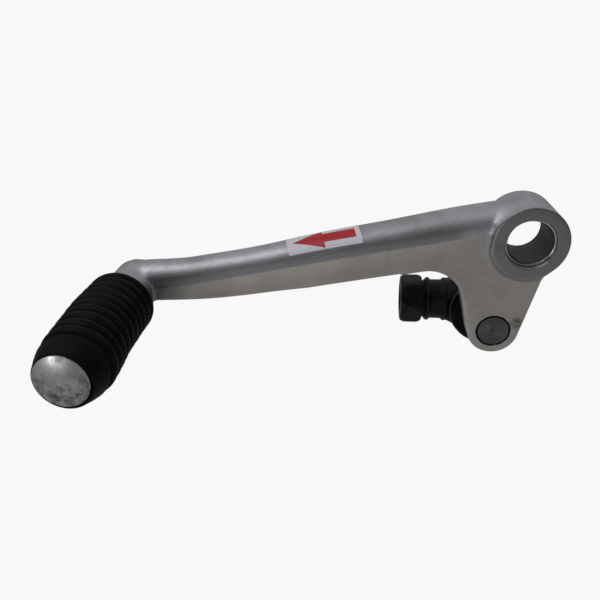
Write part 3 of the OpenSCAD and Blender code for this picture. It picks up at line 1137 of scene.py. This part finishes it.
def add_world():
    """Dim soft studio, darkest low in front, and the floor's own pale tone behind."""
    world = bpy.data.worlds.new("studio")
    world.use_nodes = True
    nodes, links = world.node_tree.nodes, world.node_tree.links
    background = nodes["Background"]
    split = nodes.new("ShaderNodeSeparateXYZ")
    links.new(nodes.new("ShaderNodeTexCoord").outputs["Generated"], split.inputs["Vector"])
    tilt = nodes.new("ShaderNodeMath")
    tilt.operation = "MULTIPLY_ADD"
    links.new(split.outputs["Y"], tilt.inputs[0])
    tilt.inputs[1].default_value = 0.6
    links.new(split.outputs["Z"], tilt.inputs[2])
    height = nodes.new("ShaderNodeMapRange")
    height.inputs["From Min"].default_value = -1.2
    height.inputs["From Max"].default_value = 1.2
    links.new(tilt.outputs["Value"], height.inputs["Value"])
    ramp = nodes.new("ShaderNodeValToRGB")
    links.new(height.outputs["Result"], ramp.inputs["Fac"])
    while len(ramp.color_ramp.elements) < len(STUDIO_TONES):
        ramp.color_ramp.elements.new(0.5)
    for element, (level, tone) in zip(ramp.color_ramp.elements, STUDIO_TONES):
        element.position = level
        element.color = (tone, tone, tone * 1.02, 1)
    pick = nodes.new("ShaderNodeMix")
    pick.data_type = "RGBA"
    links.new(nodes.new("ShaderNodeLightPath").outputs["Is Camera Ray"], pick.inputs["Factor"])
    colour_in = [socket for socket in pick.inputs if socket.type == "RGBA"]
    links.new(ramp.outputs["Color"], colour_in[0])
    colour_in[1].default_value = (PALE, PALE, PALE, 1)
    colour_out = [socket for socket in pick.outputs if socket.type == "RGBA"]
    links.new(colour_out[0], background.inputs["Color"])
    bpy.context.scene.world = world


def add_light(name, place, target, size, tone, mirrored=True):
    """Softbox of an even tone; mirrored ones show in shiny surfaces."""
    data = bpy.data.lights.new(name, "AREA")
    data.shape = "RECTANGLE"
    data.size, data.size_y = size
    data.energy = tone * math.pi * size[0] * size[1]
    light = bpy.data.objects.new(name, data)
    light.location = place
    aim = Vector(target) - Vector(place)
    light.rotation_euler = aim.to_track_quat("-Z", "Y").to_euler()
    light.visible_glossy = mirrored
    bpy.context.collection.objects.link(light)


# ---------------------------------------------------------------- building it

def fit(piece, body, slot, *nodes):
    """Puts a piece on its body and hides the CAD nodes that it stands for; slot is not used."""
    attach(piece, body)
    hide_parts(*nodes)


def build():
    """Every piece, with its body and the CAD node that it stands for."""
    black = black_coating()
    forged = forged_alloy()
    fit(add_lever(forged), "lever", "forged_alloy", "lever_arm")
    for name, side in (("boss_face_front", -1), ("boss_face_back", 1)):
        fit(add_boss_end(name, side, forged), "lever", "forged_alloy", "lever_arm")
    fit(add_peg_pin(turned_alloy()), "lever", "turned_alloy", "peg_pin")
    grip = rubber("peg_rubber", (0.004, 0.004, 0.005), 0.45, 0.35)
    fit(add_peg_rubber(grip), "lever", "peg_rubber", "peg_rubber")
    bright = turned_steel("bush_steel", (0.9, 0.9, 0.89), 0.2, (0, 0), (0.30, 0.29, 0.27))
    shell, lining = add_bush(bright, bush_lining_material())
    fit(shell, "lever", "bush_steel", "bush_shell")
    fit(lining, "lever", "bush_lining", "bush_lining")
    stud_look = turned_steel("stud_steel", (0.20, 0.198, 0.19), 0.34, (STUD_X, STUD_Z))
    fit(add_ball_stud(stud_look), "lever", "stud_steel", "ball_stud")
    sticker, arrow = add_label(
        vinyl("sticker_white", (0.88, 0.855, 0.92), (0.78, 0.76, 0.81), 0.36),
        vinyl("arrow_ink", (0.56, 0.02, 0.028), (0.70, 0.09, 0.10), 0.36),
    )
    fit(sticker, "lever", "label_vinyl", "arrow_label")
    fit(arrow, "lever", "label_vinyl", "arrow_label")
    fit(add_housing(black), "rod_joint", "black_steel", "joint_housing")
    fit(add_plug(black), "rod_joint", "black_steel", "end_plug")
    wire = turned_steel("ring_steel", (0.10, 0.10, 0.105), 0.35, (STUD_X, STUD_Z))
    fit(add_boot_ring(wire), "rod_joint", "ring_steel", "boot_ring")

    boot = add_boot(rubber("boot_rubber", (0.003, 0.003, 0.004), 0.3, 0.2))
    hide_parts("joint_boot")
    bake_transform(boot)

    seat = frame["nodes"]["ball_seat"]
    seat.data.materials.clear()
    seat.data.materials.append(seat_plastic())


build()
add_stage()
add_world()
add_light("softbox", (-0.31, -0.17, 0.50), (-0.11, 0, 0), (0.32, 0.36), 1.2)
add_light("window", (-0.64, -0.95, 0.0), (-0.15, -0.08, -0.02), (0.30, 0.22), 3.6)
add_light("overhead", (-0.25, -0.35, 0.80), (-0.08, 0, 0), (0.6, 0.6), 1.2, mirrored=False)
add_camera()

scene = bpy.context.scene
scene.view_settings.view_transform = "Standard"
